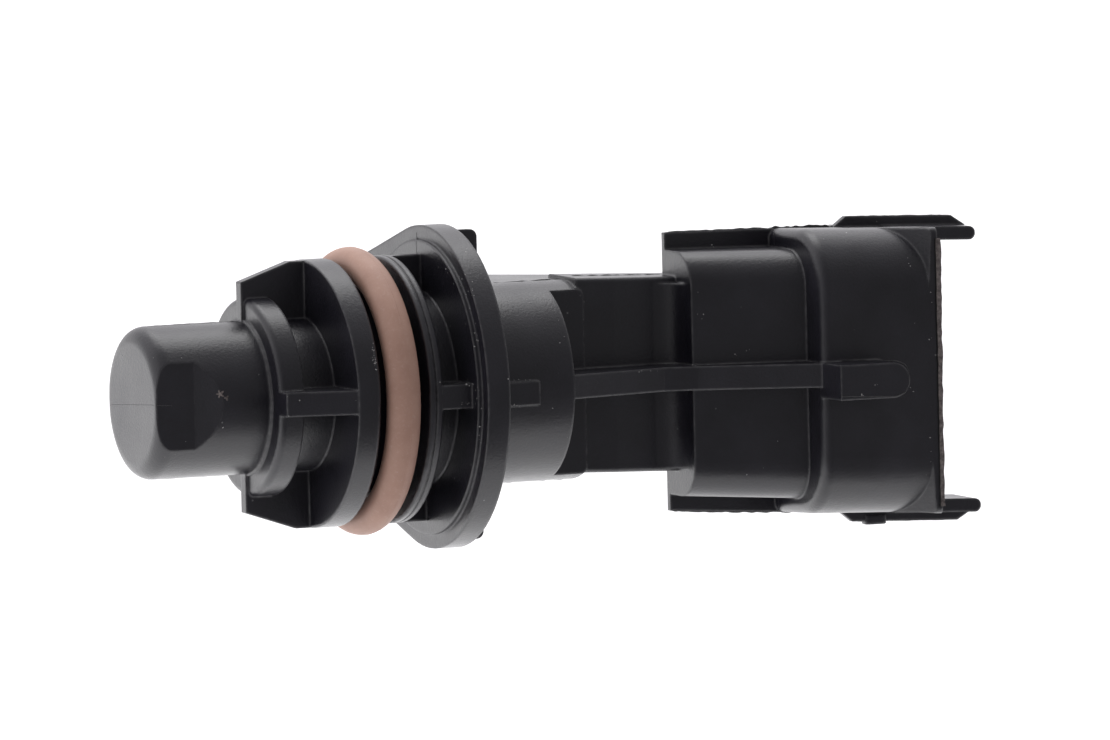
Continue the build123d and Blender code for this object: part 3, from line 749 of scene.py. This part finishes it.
# Each mark: the pixel in its middle, how widely it scatters across and down, and how many grains.
dust_marks = (
    (877, 386, 1, 1, 2), (862, 396, 3, 1, 3), (750, 350, 1, 1, 2), (735, 355, 1, 1, 2),
    (697, 293, 1, 1, 1), (712, 247, 2, 1, 3), (495, 273, 3, 1, 4), (931, 300, 1, 40, 4),
    (931, 440, 1, 40, 4), (208, 303, 3, 2, 3), (908, 262, 2, 3, 3), (700, 365, 14, 0.6, 6),
    (455, 383, 8, 0.8, 7), (912, 390, 2, 2, 2), (640, 371, 10, 0.6, 4), (850, 240, 25, 6, 5),
    (780, 470, 20, 8, 4), (560, 350, 18, 25, 4), (300, 400, 12, 8, 3), (200, 440, 20, 15, 3),
    (470, 384, 3, 1.5, 7), (467, 404, 4, 1.5, 7), (478, 394, 2, 5, 5), (520, 380, 7, 0.5, 5),
    (518, 405, 6, 0.5, 5), (455, 275, 4, 14, 6), (560, 320, 2, 14, 4), (700, 318, 6, 3, 4),
    (462, 262, 2, 12, 9), (471, 300, 2, 14, 9), (478, 340, 1.5, 16, 7),
    (479, 430, 1.5, 14, 7), (520, 300, 12, 30, 6), (150, 350, 18, 30, 6))
scuff_marks = ((373.5, 355, 1.0, 6, 22), (375.5, 362, 0.8, 3, 8))
STREWN_GRAINS = 90
shown = near_pixels(dust_marks, 301)
strewn = all_round(STREWN_GRAINS, 302)
scuffs = near_pixels(scuff_marks, 307)
print("places:", len(shown), "in the picture,", len(strewn), "all round,", len(scuffs), "scuffs")

# %% Strew the dust
flakes("dust_in_picture", shown, grain_sizes(0.035, 0.10, len(shown), 303), 304, dust)
flakes("dust_all_round", strewn, grain_sizes(0.02, 0.05, len(strewn), 305), 306, dust)
flakes("disc_scuffs", scuffs, grain_sizes(0.03, 0.085, len(scuffs), 308), 309, dust)

# %% [markdown]
# ## Seam and crumbs on the ring
# A moulded rubber ring keeps a hair line where the halves of its mould met, here along its
# widest circle, and a few pale crumbs stick to it. Both follow the ring's own formula: a point
# on it lies one small radius away from a circle round the sensor's axis. The two radii are
# read from the solid, so the marks fit it whatever its size.

# %% Measure the O-ring
ring_mesh = frame["nodes"]["o_ring"].data
ring_corners = np.empty(len(ring_mesh.vertices) * 3)
ring_mesh.vertices.foreach_get("co", ring_corners)
ring_corners = ring_corners.reshape(-1, 3) / MM
ring_near, ring_far = ring_corners[:, 0].min(), ring_corners[:, 0].max()
ring_section = (ring_far - ring_near) / 2
ring_circle = ring_corners[:, 2].max() - ring_section


def on_ring(turn_angle, tilt):
    """Points and outward normals on the ring: turn_angle runs round the axis, and tilt leans
    from the widest circle towards the nose."""
    outward = np.stack([-np.sin(tilt), np.cos(tilt) * np.cos(turn_angle),
                        np.cos(tilt) * np.sin(turn_angle)], axis=1)
    middle = np.stack([np.full(len(tilt), (ring_near + ring_far) / 2),
                       ring_circle * np.cos(turn_angle), ring_circle * np.sin(turn_angle)], axis=1)
    return middle + ring_section * outward, outward


print("ring: circle", round(ring_circle, 2), "mm, section", round(ring_section, 2), "mm")

# %% Lay the ring's seam
SEAM_SECTIONS, SEAM_TILT, SEAM_WIDTH, SEAM_HEIGHT = 260, -0.12, 0.05, 0.022
seam_points, seam_normals = on_ring(np.linspace(0.0, 2 * np.pi, SEAM_SECTIONS),
                                    np.full(SEAM_SECTIONS, SEAM_TILT))
seam_rise = uneven(SEAM_SECTIONS, 5, 0.4, 1.0, 401) * SEAM_HEIGHT
seam = put_mesh("ring_seam", *ridge(seam_points, seam_normals, SEAM_WIDTH, seam_rise, 0.04),
                finish_of["ring"], "ring")
print("ring seam volume", round(turn_outwards(seam), 3), "mm3")

# %% Strew the crumbs
CRUMBS = 90
crumb_dice = np.random.default_rng(402)
crumb_points, crumb_normals = on_ring(crumb_dice.uniform(0, 2 * np.pi, CRUMBS),
                                      crumb_dice.normal(-0.2, 0.45, CRUMBS))
flakes("ring_crumbs", list(zip(crumb_points * MM, crumb_normals)),
       crumb_dice.uniform(0.02, 0.05, CRUMBS), 403, dust, "ring")

# %% [markdown]
# ## Light tent and floor
# A black part on white is lit by reflections, not by lamps: white walls above, below and
# behind it show up as pale rims on the faces that look that way, and the dark opening that
# the camera looks through keeps the near faces deep black. The world is that tent, painted by
# direction, and the camera itself sees plain white wherever it looks past the part.

# %% Paint the tent
world = bpy.data.worlds.new("light_tent")
bpy.context.scene.world = world
world.use_nodes = True
tent = world.node_tree
tent_shader = tent.nodes["Background"]
direction = tent.nodes.new("ShaderNodeTexCoord").outputs["Generated"]


def tent_node(kind, *values, **settings):
    """Adds a world node, sets or joins its inputs in order, and returns its first output."""
    made = tent.nodes.new(kind)
    for key, value in settings.items():
        setattr(made, key, value)
    for socket, value in zip(made.inputs, values):
        if isinstance(value, bpy.types.NodeSocket):
            tent.links.new(value, socket)
        elif value is not None:
            socket.default_value = value
    return made.outputs[0]


def facing(way):
    """Cosine between the direction a ray leaves in and a fixed direction."""
    made = tent.nodes.new("ShaderNodeVectorMath")
    made.operation = "DOT_PRODUCT"
    tent.links.new(direction, made.inputs[0])
    made.inputs[1].default_value = way
    return made.outputs["Value"]


# The way that the opening lies in, and the way behind the nose, where the tent is dimmer.
OPENING_WAY, DIM_CORNER_WAY = (0.10, -0.99, 0.06), (-0.6, 0.8, 0.0)
TENT_STRENGTH, SEEN_STRENGTH = 1.5, 1.05
turned = tent_node("ShaderNodeMath", tent_node("ShaderNodeMath", facing(OPENING_WAY), 1.0,
                                               operation="ADD"), 0.5, operation="MULTIPLY")
tent_ramp = tent.nodes.new("ShaderNodeValToRGB")
tent.links.new(turned, tent_ramp.inputs["Fac"])
# Brightness of the wall by how far its direction turns from straight behind (0) to the
# middle of the opening (1).
tent_levels = ((0.0, 0.80), (0.27, 0.95), (0.47, 0.60), (0.635, 0.40), (0.765, 0.30),
               (0.855, 0.23), (0.94, 0.17), (1.0, 0.16))
stops = tent_ramp.color_ramp.elements
stops.remove(stops[1])
for share, grey in tent_levels:
    stop = stops[0] if share == 0.0 else stops.new(share)
    stop.color = (grey, grey, grey, 1.0)
wall = tent_node("ShaderNodeMath", tent_ramp.outputs["Color"], TENT_STRENGTH,
                 operation="MULTIPLY")
dimmed = tent_node("ShaderNodeMapRange", facing(DIM_CORNER_WAY), 0.62, 0.95, 1.0, 0.76)
level = tent_node("ShaderNodeMath", wall, dimmed, operation="MULTIPLY")
paths = tent.nodes.new("ShaderNodeLightPath").outputs
strength = tent_node("ShaderNodeMix", paths["Is Camera Ray"], None, level, SEEN_STRENGTH)
tent.links.new(strength, tent_shader.inputs["Strength"])
tent_shader.inputs["Color"].default_value = (0.985, 0.972, 1.0, 1.0)
print("tent has", len(tent.nodes), "nodes")

# %% [markdown]
# ## Two soft boxes
# The tent alone is nearly as bright over the plug as over the nose. The picture has its palest
# rims round the nose, so one soft box hangs over that end and one stands behind it to the left.

# %% Hang the soft boxes


def soft_box(name, place, aim, width, height, brightness):
    """An area lamp in metres, turned towards aim; its power is its brightness times pi times
    its area, so that a brightness of 1 looks like plain white."""
    lamp = bpy.data.objects.new(name, bpy.data.lights.new(name, "AREA"))
    bpy.context.scene.collection.objects.link(lamp)
    lamp.data.shape = "RECTANGLE"
    lamp.data.size, lamp.data.size_y = width, height
    lamp.data.energy = brightness * np.pi * width * height
    lamp.visible_camera = False
    lamp.location = place
    lamp.rotation_euler = (Vector(aim) - Vector(place)).to_track_quat("-Z", "Y").to_euler()
    print(name, "power", round(lamp.data.energy, 3), "W")


soft_box("box_over_nose", (0.015, 0.07, 0.18), (-0.012, 0.0, 0.0), 0.15, 0.12, 2.2)
soft_box("box_behind_left", (-0.072, 0.11, 0.0), (-0.022, 0.0, 0.0), 0.08, 0.09, 0.31)

# %% [markdown]
# ## The floor
# The part is held in the air by its nose in use, and the picture shows it free of any table.
# The floor therefore lies a few centimetres below it, white and plain, and keeps a soft shadow
# that other views can see.

# %% Lay the floor
FLOOR_Z, FLOOR_FRONT_Y, FLOOR_REACH = -0.05, -0.045, 4.0
floor_mesh = bpy.data.meshes.new("floor")
floor_corners = [(-FLOOR_REACH, FLOOR_FRONT_Y, FLOOR_Z), (FLOOR_REACH, FLOOR_FRONT_Y, FLOOR_Z),
                 (FLOOR_REACH, FLOOR_REACH, FLOOR_Z), (-FLOOR_REACH, FLOOR_REACH, FLOOR_Z)]
floor_mesh.from_pydata(floor_corners, [], [(0, 1, 2, 3)])
floor = bpy.data.objects.new("floor", floor_mesh)
bpy.context.scene.collection.objects.link(floor)
paper = Finish("white_paper")
fibres = paper.noise(40.0, 5.0)
paper.set(Base_Color=paper.blend(fibres, (0.90, 0.90, 0.90), (0.93, 0.93, 0.93)), Roughness=0.9)
# The paper glows, so that a camera sees it nearly as white as the tent around it, and so that
# glossy plastic mirrors it as white.
SEEN_GLOW, MIRRORED_GLOW = 0.45, 0.95
paper_light = paper.node("ShaderNodeLightPath").outputs
mirrored = paper.sums("MAXIMUM", paper_light["Is Glossy Ray"],
                      paper_light["Is Transmission Ray"])
glow = paper.sums("ADD", paper.sums("MULTIPLY", paper_light["Is Camera Ray"], SEEN_GLOW),
                  paper.sums("MULTIPLY", mirrored, MIRRORED_GLOW))
paper.set(Emission_Color=(1.0, 1.0, 1.0), Emission_Strength=glow)
floor_mesh.materials.append(paper.material)
print("floor at", round(FLOOR_Z / MM, 1), "mm")

# %% Set the view transform
import json
bpy.context.scene.view_settings.view_transform = "Standard"
